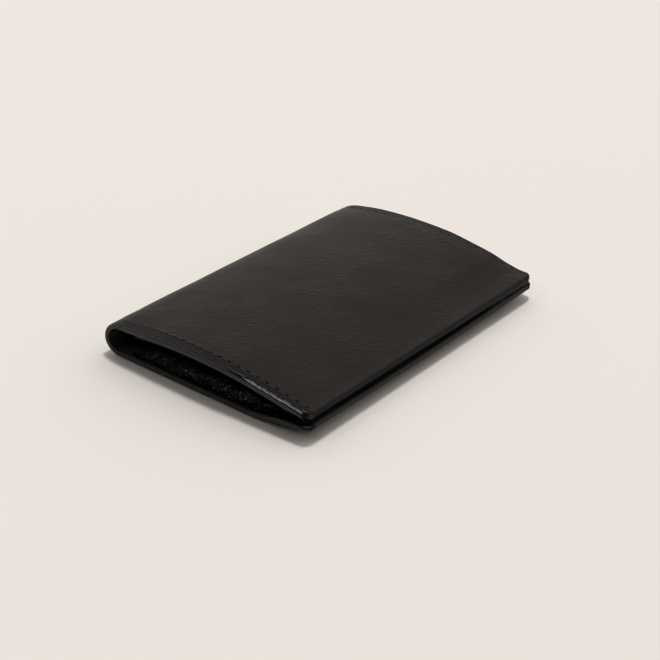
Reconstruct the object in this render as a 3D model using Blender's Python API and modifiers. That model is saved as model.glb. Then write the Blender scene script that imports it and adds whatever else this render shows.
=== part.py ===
"""Bifold leather card case, closed, lying on its back cover.

X runs from the spine to the free edges, Y along the spine, Z up. Outlines are drawn as lines in
the X-Z plane, with x measured from the outermost face of the spine, and swept along Y.
"""
import math

import bpy
from mathutils import Vector
from mathutils.geometry import interpolate_bezier

# Overall size, metres.
LENGTH = 0.105
WIDTH = 0.0756
HEIGHT = 0.0127

# Front cover: a shallow crown that falls to the spine and to the free edge.
CROWN_X = 0.033
CROWN_FALL = 2.7
RIM_FLATTEN = 0.0003
RIM_FLATTEN_START = 0.062

# Back cover: flat, then lifted towards its free edge.
BACK_LIFT = 0.0030
BACK_LIFT_START = 0.054

# Spine: a lower and an upper bend that meet at its outermost line.
SPINE_HEIGHT = 0.0047
LOWER_BEND = 0.0051
UPPER_BEND = 0.0080
LOWER_HANDLE = 0.45
UPPER_HANDLE = 0.60
SPINE_HANDLE = 0.0033

# Layers, from outside in.
LEATHER = 0.0008
LINING = 0.0005
POCKET_LEATHER = 0.0005
GAP = 0.0003
LINING_DEPTH = LEATHER + GAP
POCKET_DEPTH = LINING_DEPTH + LINING + GAP
LINING_END = 0.067
LINING_INSET = 0.0006

# Turned edges.
FOLD_RADIUS = 0.00095
FOLD_RETURN = 0.0011
RIM_X = WIDTH - FOLD_RADIUS
FOLD_END_X = RIM_X - FOLD_RETURN

# Flap pocket inside the front cover.
FLAP_MOUTH = 0.010
FLAP_EASE_START = 0.066
FLAP_RIM_DEPTH = 0.00125
FLAP_INSET = 0.0004

# Front wall of the main pocket.
PANEL_MOUTH = 0.011
PANEL_DEPTH = 0.0028
PANEL_DROP = 0.0010
PANEL_DROP_START = 0.058
PANEL_INSET = 0.0008

# Gussets: V folds that point inwards, at both short ends of the main pocket.
GUSSET_START = 0.0115
GUSSET_END = 0.062
GUSSET_FOLD = 0.0048
GUSSET_THICKNESS = 0.0004
GUSSET_INSET = 0.0014
GUSSET_STATIONS = 9

# Thread rows and the grooves they lie in.
THREAD_INSET = 0.0027
THREAD_WIDTH = 0.0004
THREAD_TOP = 0.00005
THREAD_THICKNESS = 0.00025
GROOVE_WIDTH = 0.0009
GROOVE_DEPTH = 0.00055
GROOVE_RISE = 0.001
COVER_THREAD = (0.010, 0.0725)
BACK_THREAD = (0.008, 0.0725)
PANEL_THREAD = (0.013, 0.0705)

# Hinge lines of the spine, just under the outer face of the leather.
HINGES = 3
HINGE_DEPTH = 0.00025
POCKET_HINGE_DEPTH = 0.0004

EDGE_BEVEL = 0.00022
BEVEL_ANGLE = math.radians(50)
SMOOTH_ANGLE = math.radians(40)
CURVE_POINTS = 14
FOLD_POINTS = 9
PLATE_POINTS = 16

LEATHER_BLACK = (0.036, 0.031, 0.029, 1.0)
LINING_BLACK = (0.016, 0.015, 0.015, 1.0)
GUSSET_BLACK = (0.010, 0.010, 0.011, 1.0)
THREAD_BLACK = (0.008, 0.008, 0.008, 1.0)


# ---------------------------------------------------------------- scene helpers

def clear_scene():
    for thing in list(bpy.data.objects):
        bpy.data.objects.remove(thing, do_unlink=True)


def make_collection(name):
    collection = bpy.data.collections.new(name)
    bpy.context.scene.collection.children.link(collection)
    return collection


def make_material(name, colour, roughness):
    material = bpy.data.materials.new(name)
    material.use_nodes = True
    shader = material.node_tree.nodes["Principled BSDF"]
    shader.inputs["Base Color"].default_value = colour
    shader.inputs["Roughness"].default_value = roughness
    shader.inputs["Metallic"].default_value = 0.0
    return material


def make_pivot(collection, name, point, parent=None):
    """An empty on a joint's axis. point is (x, z)."""
    pivot = bpy.data.objects.new(name, None)
    pivot.empty_display_size = 0.005
    here = Vector((point[0] - WIDTH / 2, 0.0, point[1]))
    pivot.location = here
    pivot["world"] = here
    if parent:
        pivot.parent = parent
        pivot.location = here - Vector(parent["world"])
    collection.objects.link(pivot)
    return pivot


# ---------------------------------------------------------------- outlines in the X-Z plane

def smoothstep(value, low, high):
    t = min(1.0, max(0.0, (value - low) / (high - low)))
    return t * t * (3.0 - 2.0 * t)


def front_z(x):
    """Height of the front cover's outer face."""
    crown = HEIGHT - CROWN_FALL * (x - CROWN_X) ** 2
    return crown + RIM_FLATTEN * smoothstep(x, RIM_FLATTEN_START, WIDTH)


def back_z(x):
    """Height of the back cover's outer face."""
    t = min(1.0, max(0.0, (x - BACK_LIFT_START) / (WIDTH - BACK_LIFT_START)))
    return BACK_LIFT * 0.5 * (1.0 - math.cos(math.pi * t))


def panel_z(x):
    """Height of the main pocket's front wall, on its outer face."""
    return front_z(x) - PANEL_DEPTH - PANEL_DROP * smoothstep(x, PANEL_DROP_START, FOLD_END_X)


def plate_line(height, start, end, count=PLATE_POINTS):
    steps = [start + (end - start) * i / (count - 1) for i in range(count)]
    return [Vector((x, height(x))) for x in steps]


def bend(a, handle_a, handle_b, b):
    knots = [Vector(p) for p in (a, handle_a, handle_b, b)]
    return list(interpolate_bezier(*knots, CURVE_POINTS))


def outer_line():
    """Outer face of the leather, from the back rim round the spine to the front rim."""
    slope = 2.0 * CROWN_FALL * (CROWN_X - UPPER_BEND)
    reach = UPPER_HANDLE * UPPER_BEND
    top = front_z(UPPER_BEND)
    back = plate_line(back_z, RIM_X, BACK_LIFT_START) + [Vector((LOWER_BEND, 0.0))]
    lower = bend((LOWER_BEND, 0.0), (LOWER_HANDLE * LOWER_BEND, 0.0),
                 (0.0, LOWER_HANDLE * SPINE_HEIGHT), (0.0, SPINE_HEIGHT))
    upper = bend((0.0, SPINE_HEIGHT), (0.0, SPINE_HEIGHT + SPINE_HANDLE),
                 (UPPER_BEND - reach, top - reach * slope), (UPPER_BEND, top))
    front = plate_line(front_z, UPPER_BEND, RIM_X)
    return back + lower[1:] + upper[1:] + front[1:]


def distances(line):
    total = [0.0]
    for a, b in zip(line, line[1:]):
        total.append(total[-1] + (b - a).length)
    return total


def point_at(line, distance):
    along = distances(line)
    for i, (low, high) in enumerate(zip(along, along[1:])):
        if distance <= high:
            return line[i].lerp(line[i + 1], (distance - low) / (high - low))
    return line[-1].copy()


def trim(line, start, end):
    """The stretch of a line between two distances along it."""
    along = distances(line)
    inside = [p for p, d in zip(line, along) if start + 1e-6 < d < end - 1e-6]
    return [point_at(line, start)] + inside + [point_at(line, end)]


def distance_where(line, x, last=False):
    """Distance along the line at which it crosses x: the first crossing, or the last one."""
    along = distances(line)
    found = []
    for i, (a, b) in enumerate(zip(line, line[1:])):
        if min(a.x, b.x) <= x <= max(a.x, b.x) and a.x != b.x:
            found.append(along[i] + (along[i + 1] - along[i]) * (x - a.x) / (b.x - a.x))
    return found[-1] if last else found[0]


def distance_at_turn(line, angle):
    """Distance at which the line, past the flat floor, has turned by an angle."""
    along = distances(line)
    flat = Vector((-1.0, 0.0))
    first = distance_where(line, BACK_LIFT_START) + GAP
    for i, (a, b) in enumerate(zip(line, line[1:])):
        if along[i] > first and (b - a).angle(flat) >= angle:
            return along[i]
    return along[-1]


def normals(line):
    """Outward unit normals: on the left of the direction of travel."""
    found = []
    for i in range(len(line)):
        ahead = line[min(i + 1, len(line) - 1)] - line[max(i - 1, 0)]
        found.append(Vector((-ahead.y, ahead.x)).normalized())
    return found


def sink(line, depth):
    """The line moved inwards. depth is a number, or a function of x."""
    amount = depth if callable(depth) else (lambda x: depth)
    return [p - n * amount(p.x) for p, n in zip(line, normals(line))]


def turned_edge(rim, outward):
    """Half circle from the outer face of a rim to its inner side, then a short return."""
    normal = Vector((-outward.y, outward.x))
    if rim.y < HEIGHT / 2:
        normal = -normal
    centre = rim - normal * FOLD_RADIUS
    steps = [math.pi * i / (FOLD_POINTS - 1) for i in range(1, FOLD_POINTS)]
    arc = [centre + FOLD_RADIUS * (normal * math.cos(a) + outward * math.sin(a)) for a in steps]
    return arc + [arc[-1] - outward * FOLD_RETURN]


# ---------------------------------------------------------------- solids

def sheet(collection, name, rows, pivot, thickness, material=None):
    """A shell of even thickness, inwards from an open surface through rows of (x, y, z) points."""
    centre = Vector(pivot["world"]) if pivot else Vector((0.0, 0.0, 0.0))
    shift = Vector((-WIDTH / 2, 0.0, 0.0)) - centre
    verts = [Vector(p) + shift for row in rows for p in row]
    width = len(rows[0])
    corners = [r * width + c for r in range(len(rows) - 1) for c in range(width - 1)]
    mesh = bpy.data.meshes.new(name)
    mesh.from_pydata(verts, [], [(a, a + width, a + width + 1, a + 1) for a in corners])
    mesh.shade_smooth()
    mesh.set_sharp_from_angle(angle=SMOOTH_ANGLE)
    thing = bpy.data.objects.new(name, mesh)
    collection.objects.link(thing)
    thing.parent = pivot
    if material:
        mesh.materials.append(material)
    shell = thing.modifiers.new("thickness", "SOLIDIFY")
    shell.thickness = thickness
    shell.offset = -1.0
    shell.use_even_offset = True
    return thing


def round_edges(thing, width=EDGE_BEVEL):
    bevel = thing.modifiers.new("edges", "BEVEL")
    bevel.width = width
    bevel.segments = 2
    bevel.limit_method = "ANGLE"
    bevel.angle_limit = BEVEL_ANGLE


def strip(collection, name, line, inset, pivot, thickness, material=None):
    """A sheet swept along Y under a line, its ends set back from the ends of the case."""
    end = LENGTH / 2 - inset
    rows = [[(p.x, -end, p.y), (p.x, end, p.y)] for p in line]
    return sheet(collection, name, rows, pivot, thickness, material)


def tape(collection, name, line, y, width, pivot, thickness, material=None):
    """A narrow sheet under a line, centred on y."""
    rows = [[(p.x, y - width / 2, p.y), (p.x, y + width / 2, p.y)] for p in line]
    return sheet(collection, name, rows, pivot, thickness, material)


def add_threads(case, cutters, cover, prefix, line, span, pivot, material, last=False):
    """A thread row at each end of a sheet, with the groove it lies in."""
    start, end = sorted(distance_where(line, x, last) for x in span)
    for side, sign in (("left", -1), ("right", 1)):
        y = sign * (LENGTH / 2 - THREAD_INSET)
        thread = sink(trim(line, start, end), THREAD_TOP)
        tape(case, f"{prefix}_thread_{side}", thread, y, THREAD_WIDTH, pivot, THREAD_THICKNESS, material)
        raised = sink(trim(line, start - GAP, end + GAP), -GROOVE_RISE)
        depth = GROOVE_RISE + GROOVE_DEPTH
        cutter = tape(cutters, f"{prefix}_groove_{side}", raised, y, GROOVE_WIDTH, pivot, depth)
        cutter.hide_render = True
        cutter.display_type = "WIRE"
        groove = cover.modifiers.new(f"groove_{side}", "BOOLEAN")
        groove.operation = "DIFFERENCE"
        groove.solver = "EXACT"
        groove.object = cutter


# ---------------------------------------------------------------- pieces of the case

def build_spine(case, line, stops, pivots, leather, lining):
    """The lower and upper strips of the spine leather, each with its lining."""
    for i, place in enumerate(("lower", "upper")):
        piece = trim(line, stops[i] + GAP / 2, stops[i + 1] - GAP / 2)
        outer = strip(case, f"spine_leather_{place}", piece, 0.0, pivots[i], LEATHER, leather)
        round_edges(outer)
        inner = sink(piece, LINING_DEPTH)
        strip(case, f"spine_lining_{place}", inner, LINING_INSET, pivots[i], LINING, lining)


def flap_depth(x):
    """Depth of the flap pocket under the front cover, less where it nears the turned edge."""
    eased = smoothstep(x, FLAP_EASE_START, FOLD_END_X)
    return POCKET_DEPTH - (POCKET_DEPTH - FLAP_RIM_DEPTH) * eased


def build_front(case, cutters, line, stop, pivot, materials):
    """Front cover with its turned edge, its lining, flap pocket and thread rows."""
    total = distances(line)[-1]
    outward = (line[-1] - line[-2]).normalized()
    cover_line = trim(line, stop + GAP / 2, total) + turned_edge(line[-1], outward)
    cover = strip(case, "front_cover", cover_line, 0.0, pivot, LEATHER, materials["leather"])
    round_edges(cover)
    add_threads(case, cutters, cover, "front", line, COVER_THREAD, pivot, materials["thread"], last=True)

    lining_end = distance_where(line, LINING_END, last=True)
    lining_line = sink(trim(line, stop + GAP / 2, lining_end), LINING_DEPTH)
    strip(case, "front_lining", lining_line, LINING_INSET, pivot, LINING, materials["lining"])

    mouth = distance_where(line, FLAP_MOUTH, last=True)
    rim = distance_where(line, FOLD_END_X - GAP, last=True)

    flap_line = sink(trim(line, mouth, rim), flap_depth)
    leather = materials["leather"]
    flap = strip(case, "front_flap_pocket", flap_line, FLAP_INSET, pivot, POCKET_LEATHER, leather)
    round_edges(flap, EDGE_BEVEL / 2)


def build_back(case, cutters, line, stop, materials):
    """Back cover with its turned edge, its lining and thread rows."""
    outward = (line[0] - line[1]).normalized()
    turned = list(reversed(turned_edge(line[0], outward)))
    cover_line = turned + trim(line, 0.0, stop - GAP / 2)
    cover = strip(case, "back_cover", cover_line, 0.0, None, LEATHER, materials["leather"])
    round_edges(cover)
    add_threads(case, cutters, cover, "back", line, BACK_THREAD, None, materials["thread"])

    lining_line = sink(trim(line, distance_where(line, LINING_END), stop - GAP / 2), LINING_DEPTH)
    strip(case, "back_lining", lining_line, LINING_INSET, None, LINING, materials["lining"])


def build_pocket(case, cutters, line, pivot, materials):
    """Front wall of the main pocket, with its lining and thread rows."""
    panel = strip(case, "pocket_front_wall", line, PANEL_INSET, pivot, LEATHER, materials["leather"])
    round_edges(panel)
    add_threads(case, cutters, panel, "pocket", line, PANEL_THREAD, pivot, materials["thread"])
    inner = sink(trim(line, 0.0, distance_where(line, LINING_END)), LINING_DEPTH)
    strip(case, "pocket_lining", inner, PANEL_INSET + LINING_INSET, pivot, LINING, materials["lining"])


def build_gussets(case, material):
    """V folds between the back lining and the pocket's front wall, shallower towards the free edge."""
    layers = LINING_DEPTH + LINING + GAP
    steps = [GUSSET_START + (GUSSET_END - GUSSET_START) * i / (GUSSET_STATIONS - 1)
             for i in range(GUSSET_STATIONS)]
    tallest = panel_z(GUSSET_START) - layers - (back_z(GUSSET_START) + layers)
    for side, sign in (("left", 1), ("right", -1)):
        rows = []
        for x in steps:
            low = back_z(x) + layers + GUSSET_THICKNESS / 2
            high = panel_z(x) - layers - GUSSET_THICKNESS / 2
            edge = sign * (-LENGTH / 2 + GUSSET_INSET)
            apex = edge + sign * GUSSET_FOLD * (high - low) / tallest
            row = [(x, edge, low), (x, apex, (low + high) / 2), (x, edge, high)]
            rows.append(row if sign > 0 else row[::-1])
        sheet(case, f"gusset_{side}", rows, None, GUSSET_THICKNESS, material)


def main():
    clear_scene()
    case = make_collection("card_holder")
    cutters = make_collection("cutters")
    materials = {
        "leather": make_material("leather", LEATHER_BLACK, 0.5),
        "lining": make_material("lining", LINING_BLACK, 0.7),
        "gusset": make_material("gusset", GUSSET_BLACK, 0.3),
        "thread": make_material("thread", THREAD_BLACK, 0.8),
    }

    line = outer_line()
    turn = math.pi - math.atan(2.0 * CROWN_FALL * (CROWN_X - UPPER_BEND))
    stops = [distance_at_turn(line, turn * (2 * i + 1) / (2 * HINGES)) for i in range(HINGES)]
    pivots = []
    for i, stop in enumerate(stops):
        pole = sink(line, HINGE_DEPTH)[distances(line).index(stop)]
        pivots.append(make_pivot(case, f"spine_fold_{i + 1}", pole, pivots[-1] if pivots else None))

    panel_line = plate_line(panel_z, PANEL_MOUTH, FOLD_END_X - GAP)
    fold = panel_line[-1]
    pocket_pivot = make_pivot(case, "pocket_fold", (fold.x + GAP / 2, fold.y - POCKET_HINGE_DEPTH))

    build_back(case, cutters, line, stops[0], materials)
    build_spine(case, line, stops, pivots, materials["leather"], materials["lining"])
    build_front(case, cutters, line, stops[-1], pivots[-1], materials)
    build_pocket(case, cutters, panel_line, pocket_pivot, materials)
    build_gussets(case, materials["gusset"])


main()
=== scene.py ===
"""Looks of a bifold leather card case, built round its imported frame.

The case is drawn as lines in the X-Z plane, read by distance s along them, and swept along Y. x is
measured from the outermost face of the spine; all lengths are metres.
"""
import math

import bpy
import numpy as np
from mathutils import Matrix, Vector


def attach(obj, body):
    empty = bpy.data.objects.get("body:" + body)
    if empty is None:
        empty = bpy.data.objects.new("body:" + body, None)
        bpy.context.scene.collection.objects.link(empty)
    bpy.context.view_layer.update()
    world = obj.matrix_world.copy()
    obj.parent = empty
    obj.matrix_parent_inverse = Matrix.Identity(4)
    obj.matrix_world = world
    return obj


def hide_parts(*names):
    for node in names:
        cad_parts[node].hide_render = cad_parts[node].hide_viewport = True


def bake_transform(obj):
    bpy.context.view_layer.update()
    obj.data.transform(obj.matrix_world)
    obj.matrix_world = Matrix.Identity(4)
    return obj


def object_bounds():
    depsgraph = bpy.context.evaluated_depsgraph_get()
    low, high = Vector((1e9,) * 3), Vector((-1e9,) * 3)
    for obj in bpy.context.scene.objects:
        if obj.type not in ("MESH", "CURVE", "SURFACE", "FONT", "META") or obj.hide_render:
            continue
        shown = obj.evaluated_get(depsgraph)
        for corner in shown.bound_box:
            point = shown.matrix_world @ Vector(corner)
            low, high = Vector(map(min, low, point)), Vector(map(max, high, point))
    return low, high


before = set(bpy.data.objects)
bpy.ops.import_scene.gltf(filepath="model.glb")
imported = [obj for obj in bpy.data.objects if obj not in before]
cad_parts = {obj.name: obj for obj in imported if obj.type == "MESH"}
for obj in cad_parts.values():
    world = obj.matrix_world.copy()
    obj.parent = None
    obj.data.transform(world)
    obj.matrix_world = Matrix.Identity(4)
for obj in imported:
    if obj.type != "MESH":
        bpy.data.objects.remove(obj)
cad_low, cad_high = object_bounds()

# Overall size. The length is the frame's own.
LENGTH = cad_high.y - cad_low.y
WIDTH = 0.0756
HEIGHT = 0.0127
SPINE_X = -WIDTH / 2

# Outline: the same crown, lift and bends as the frame.
CROWN_X = 0.033
CROWN_FALL = 2.7
RIM_FLATTEN = 0.0003
RIM_FLATTEN_START = 0.062
BACK_LIFT = 0.0030
BACK_LIFT_START = 0.054
SPINE_HEIGHT = 0.0047
LOWER_BEND = 0.0051
UPPER_BEND = 0.0080
LOWER_HANDLE = 0.45
UPPER_HANDLE = 0.60
SPINE_HANDLE = 0.0033
FOLD_RADIUS = 0.00095
FOLD_RETURN = 0.0011
RIM_X = WIDTH - FOLD_RADIUS
FOLD_END_X = RIM_X - FOLD_RETURN
HINGES = 3

# Lasting shape of the worn case: amounts that grow or fade along Y. A pair is the stretch over which
# an amount comes in, along x, or along z for GAP_RANGE, UPPER_RANGE and RIM_PUFF_TOP.
TWIST = 0.00080
TWIST_SHARE = 0.65
TWIST_RANGE = (0.0610, 0.0745)
BACK_SAG = 0.00065
BACK_TWIST = 0.00020
RIM_SKEW = 0.0006
RIM_SKEW_RANGE = (0.055, 0.0745)
FAR_CROWN = 0.0002
FAR_CROWN_RISE = (0.004, 0.014)
FAR_CROWN_FALL = (0.055, 0.068)
FAR_REACH = 0.0007
SPINE_NEAR_RISE = 0.0003
SPINE_FAR_FALL = 0.0003
SHOULDER_RANGE = (0.004, 0.016)
RIM_CURL = 0.0006
RIM_CURL_RANGE = (0.0690, 0.0750)
RIM_DIP_SHARE = 0.6
RIM_DIP_RANGE = (0.0600, 0.0665)
RIM_PUFF = 0.0009
RIM_PUFF_RANGE = (0.066, 0.073)
RIM_PUFF_TOP = (0.0064, 0.0083)
GAP_RANGE = (0.0020, 0.0032)
UPPER_RANGE = (0.0055, 0.0095)
FAR_MARGIN_FALL = 0.00020
# Width of the band before the front rim that is painted lighter: a painted highlight where the rounded fold
# catches light.
RIM_HIGHLIGHT_WIDTH = 0.0030

# Layers, by depth under the outer face.
LEATHER = 0.00102
FOLD_LEATHER = 0.00080
LINING_DEPTH = 0.00105
LINING = 0.00050
FLAP_DEPTH = 0.00159
FLAP_RIM_DEPTH = 0.00112
FLAP_LEATHER = 0.00072
WALL_LEATHER = 0.00085
WALL_LINING_DEPTH = 0.00088
LINING_END = 0.0733
LINING_PARED = 0.066
WALL_LINING_START = 0.0006
WALL_LINING_END = 0.067
LINING_PARED_AWAY = 0.88
FLAP_MOUTH = 0.0046
FLAP_EASE_START = 0.066
FLAP_GAP = 0.00012
WALL_MOUTH = 0.011
WALL_DEPTH = 0.0028
WALL_DROP = 0.0010
WALL_DROP_START = 0.058
WALL_GAP = 0.00015
SKIVE_RANGE = (0.0005, 0.004)

# How far each layer stops short of the ends of the case.
COVER_INSET = 0.00003
LINING_INSET = 0.00008
FLAP_INSET = 0.00010
WALL_INSET = 0.0022
WALL_LINING_INSET = 0.0025

# Stitch rows.
THREAD_INSET = 0.0027
WALL_THREAD_INSET = 0.0020
STITCH_PITCH = 0.0034
STITCH_LENGTH = 0.0025
THREAD_RADIUS = 0.00018
THREAD_FLATNESS = 0.8
NEAR_STITCH_DEPTH = 0.00006
FAR_STITCH_DEPTH = 0.00018
STITCH_PLUNGE = 0.00034
STITCH_SLANT = 0.00010
COVER_ROW = (0.0055, 0.0727)
BACK_ROW = (0.0065, 0.0725)
WALL_ROW = (0.013, 0.0705)
FURROW_DEPTH = 0.00012
FURROW_WIDTH = 0.00032
FURROW_RUN_OUT = 0.0012
HOLE_DEPTH = 0.00042
HOLE_WIDTH = 0.00030
FAR_STITCH_FADE = 0.55
FIRST_STITCHES = 0.35
FIRST_STITCHES_LENGTH = 0.028

# Cut ends of the covers. The corners and the bevel fade out over END_ZONE.
MARGIN = 0.0024
CUT_LEVEL = 0.00003
CUT_INSET = 0.00032
MARGIN_DEPTH = 0.00010
MARGIN_SLOPE = (0.0034, 0.0070)
CREASE_INSET = 0.0009
CREASE_DEPTH = 0.00009
CREASE_WIDTH = 0.00020
CORNER_RADIUS = 0.0024
COVER_BEVEL = 0.0009
COVER_BEVEL_RANGE = (0.044, 0.056)
BEVEL_BULGE = 0.16
BEVEL_BULGE_X = 0.0615
BEVEL_BULGE_WIDTH = 0.0060
END_ZONE = 0.003

# Gussets.
GUSSET_START = 0.0101
GUSSET_END = 0.0728
GUSSET_WIDTH = 0.0062
GUSSET_FOLD_INSET = 0.0062
GUSSET_LOWER_INSET = 0.00022
GUSSET_UPPER_INSET = 0.0026
GUSSET_FOLD_LIFT = 0.0026
GUSSET_THICKNESS = 0.00045
GUSSET_PARED = 0.75
GUSSET_PARED_START = 0.058
GUSSET_GAP = 0.00003
GUSSET_STEP = 0.00030
GUSSET_EDGE = 0.00012
GUSSET_CRINKLES = ((0.00024, 0.0030), (0.00013, 0.0013), (0.00006, 0.0007))

# Mesh steps.
PLATE_STEP = 0.00055
BEND_STEP = 0.00022
LINING_STEP = 0.0012
FLAP_STEP = 0.0006
WALL_STEP = 0.0007
HOLE_STEP = 0.00014
SMALLEST_STEP = 0.00006
COARSE = 0.0006
FINE = 0.00013
FINE_ZONE = 0.0056
UNDER_STEP = 0.003
DRAW_STEP = 0.00005
ARC_POINTS = 6
THICK_SHEET = 0.0009


# ---------------------------------------------------------------- outlines

def smooth(value, low, high):
    t = np.clip((value - low) / (high - low), 0.0, 1.0)
    return t * t * (3.0 - 2.0 * t)


def front_z(x):
    return HEIGHT - CROWN_FALL * (x - CROWN_X) ** 2 + RIM_FLATTEN * smooth(x, RIM_FLATTEN_START, WIDTH)


def back_z(x):
    t = np.clip((x - BACK_LIFT_START) / (WIDTH - BACK_LIFT_START), 0.0, 1.0)
    return BACK_LIFT * 0.5 * (1.0 - np.cos(math.pi * t))


def wall_z(x):
    return front_z(x) - WALL_DEPTH - WALL_DROP * smooth(x, WALL_DROP_START, FOLD_END_X)


def plate(height, start, end):
    x = np.linspace(start, end, int(abs(end - start) / DRAW_STEP))
    return np.stack([x, height(x)], 1)


def bezier(a, b, c, d):
    t = np.linspace(0.0, 1.0, 200)[:, None]
    a, b, c, d = (np.array(p) for p in (a, b, c, d))
    return a * (1 - t) ** 3 + 3 * b * t * (1 - t) ** 2 + 3 * c * t * t * (1 - t) + d * t ** 3


def turned_edge(rim, before, up):
    """Half circle round a rim, then a short return. up is 1 on the front cover and -1 on the back."""
    outward = (rim - before) / np.linalg.norm(rim - before)
    normal = up * np.array([-outward[1], outward[0]])
    centre = rim - normal * FOLD_RADIUS
    turn = np.linspace(0.0, math.pi, 60)[1:, None]
    arc = centre + FOLD_RADIUS * (normal * np.cos(turn) + outward * np.sin(turn))
    back = arc[-1] - outward * np.linspace(0.0, FOLD_RETURN, 20)[1:, None]
    return np.concatenate([arc, back])


class Path:
    """A line in the X-Z plane with its outward normals, on the left of its direction."""

    def __init__(self, points):
        self.points = np.array(points)
        steps = np.linalg.norm(np.diff(self.points, axis=0), axis=1)
        self.along = np.concatenate([[0.0], np.cumsum(steps)])
        self.length = self.along[-1]
        tangent = np.gradient(self.points, self.along, axis=0)
        tangent /= np.linalg.norm(tangent, axis=1)[:, None]
        self.tangents = tangent
        self.normals = np.stack([-tangent[:, 1], tangent[:, 0]], 1)

    def at(self, s):
        point = np.stack([np.interp(s, self.along, self.points[:, k]) for k in (0, 1)], -1)
        normal = np.stack([np.interp(s, self.along, self.normals[:, k]) for k in (0, 1)], -1)
        return point, normal / np.linalg.norm(normal, axis=-1, keepdims=True)

    def nearest(self, x, z):
        gap = np.hypot(self.points[:, 0] - x, self.points[:, 1] - z)
        return self.along[int(np.argmin(gap))]


def outer_path():
    """Outer face of the leather, from the back fold's return round the spine to the front fold's."""
    slope = 2.0 * CROWN_FALL * (CROWN_X - UPPER_BEND)
    reach = UPPER_HANDLE * UPPER_BEND
    top = float(front_z(UPPER_BEND))
    back = plate(back_z, RIM_X, LOWER_BEND)
    lower = bezier((LOWER_BEND, 0.0), (LOWER_HANDLE * LOWER_BEND, 0.0),
                   (0.0, LOWER_HANDLE * SPINE_HEIGHT), (0.0, SPINE_HEIGHT))
    upper = bezier((0.0, SPINE_HEIGHT), (0.0, SPINE_HEIGHT + SPINE_HANDLE),
                   (UPPER_BEND - reach, top - reach * slope), (UPPER_BEND, top))
    front = plate(front_z, UPPER_BEND, RIM_X)
    back_turn = turned_edge(back[0], back[1], -1)[::-1]
    front_turn = turned_edge(front[-1], front[-2], 1)
    return Path(np.concatenate([back_turn, back, lower[1:], upper[1:], front[1:], front_turn]))


def turned(path, angle, start):
    """Distance along the path, after start, at which it has turned by an angle from the floor."""
    heading = np.arctan2(path.tangents[:, 1], -path.tangents[:, 0])
    past = (path.along > start) & (heading >= angle)
    return path.along[int(np.argmax(past))]


OUTER = outer_path()
WALL = Path(plate(wall_z, WALL_MOUTH, FOLD_END_X - WALL_GAP))
CLOSED_TURN = math.pi - math.atan(2.0 * CROWN_FALL * (CROWN_X - UPPER_BEND))
S_FLOOR = OUTER.nearest(LOWER_BEND, 0.0)
S_SEAMS = [turned(OUTER, CLOSED_TURN * (k + 1) / HINGES, S_FLOOR) for k in range(HINGES - 1)]
S_TOP = OUTER.nearest(UPPER_BEND, float(front_z(UPPER_BEND)))
S_BACK_RIM = FOLD_RETURN + math.pi * FOLD_RADIUS
S_FRONT_RIM = OUTER.length - S_BACK_RIM


def front_s(x):
    return OUTER.nearest(x, float(front_z(x)))


def back_s(x):
    return OUTER.nearest(x, float(back_z(x)))


def far_share(y):
    """0 at the near end of the case and 1 at the far end."""
    return np.clip(y / LENGTH + 0.5, 0.0, 1.0)


def settle(x, y, z):
    """Change of height of a point of the worn case.

    The free edge hangs lower towards the far end, where its rim curls up and bulges underneath. The
    crown is a little fuller there, and the shoulder over the spine a little lower.
    """
    far = far_share(y)
    early = smooth(x, BACK_LIFT_START, TWIST_RANGE[1])
    low_drop = -(BACK_SAG * np.sin(math.pi * far) + BACK_TWIST * far) * early
    high_drop = -TWIST * far * ((1.0 - TWIST_SHARE) * early + TWIST_SHARE * smooth(x, *TWIST_RANGE))
    above = smooth(z - back_z(x), *GAP_RANGE)
    curl = RIM_CURL * far ** 2 * (smooth(x, *RIM_CURL_RANGE) - RIM_DIP_SHARE * smooth(x, *RIM_DIP_RANGE))
    puff = -RIM_PUFF * far ** 2 * smooth(x, *RIM_PUFF_RANGE) * (1.0 - smooth(z, *RIM_PUFF_TOP))
    drop = low_drop + (high_drop + curl + puff - low_drop) * above
    upper = smooth(z, *UPPER_RANGE)
    shoulder = 1.0 - smooth(x, *SHOULDER_RANGE)
    fuller = FAR_CROWN * far * smooth(x, *FAR_CROWN_RISE) * (1.0 - smooth(x, *FAR_CROWN_FALL))
    spine = shoulder * (SPINE_NEAR_RISE * (1.0 - far) - SPINE_FAR_FALL * far)
    return drop + upper * (fuller + spine)


def skewed(x, y):
    """x after the free rims have crept outwards at the near end."""
    return x + RIM_SKEW * (1.0 - far_share(y)) * smooth(x, *RIM_SKEW_RANGE)


def drawn(y):
    """y after the far end has been drawn out in use."""
    return y + FAR_REACH * smooth(y, 0.0, 0.5 * LENGTH)


# ---------------------------------------------------------------- relief

COVER_SEED = 11
WALL_SEED = 41
LINING_SEED = 71
WALL_HIDE = 0.6
LINING_HIDE = 0.25
WALL_PRESS = 0.00008
FLOOR_PRESS = 0.00010
FAR_MARGIN_WIDTH = 0.0036
RIM_CALM = (0.007, 0.0045)
RIM_RELIEF = 0.25


def lattice(u, v, size, seed):
    """Smooth random heights between -1 and 1 with cells of a given size."""
    count = 128
    table = np.random.default_rng(seed).uniform(-1.0, 1.0, (count, count))
    a, b = u / size + 31.0, v / size + 57.0
    i, j = np.floor(a).astype(int), np.floor(b).astype(int)
    f, g = a - i, b - j
    f, g = f * f * (3 - 2 * f), g * g * (3 - 2 * g)
    i, j, k, m = i % count, j % count, (i + 1) % count, (j + 1) % count
    low = table[i, j] * (1 - f) + table[k, j] * f
    high = table[i, m] * (1 - f) + table[k, m] * f
    return low * (1 - g) + high * g


def bell(value, width):
    return np.exp(-(value / width) ** 2)


def row_holes(start, end):
    """Distances of the needle holes of a stitch row."""
    count = int(round((end - start) / STITCH_PITCH))
    return np.linspace(start, end, count + 1)


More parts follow.
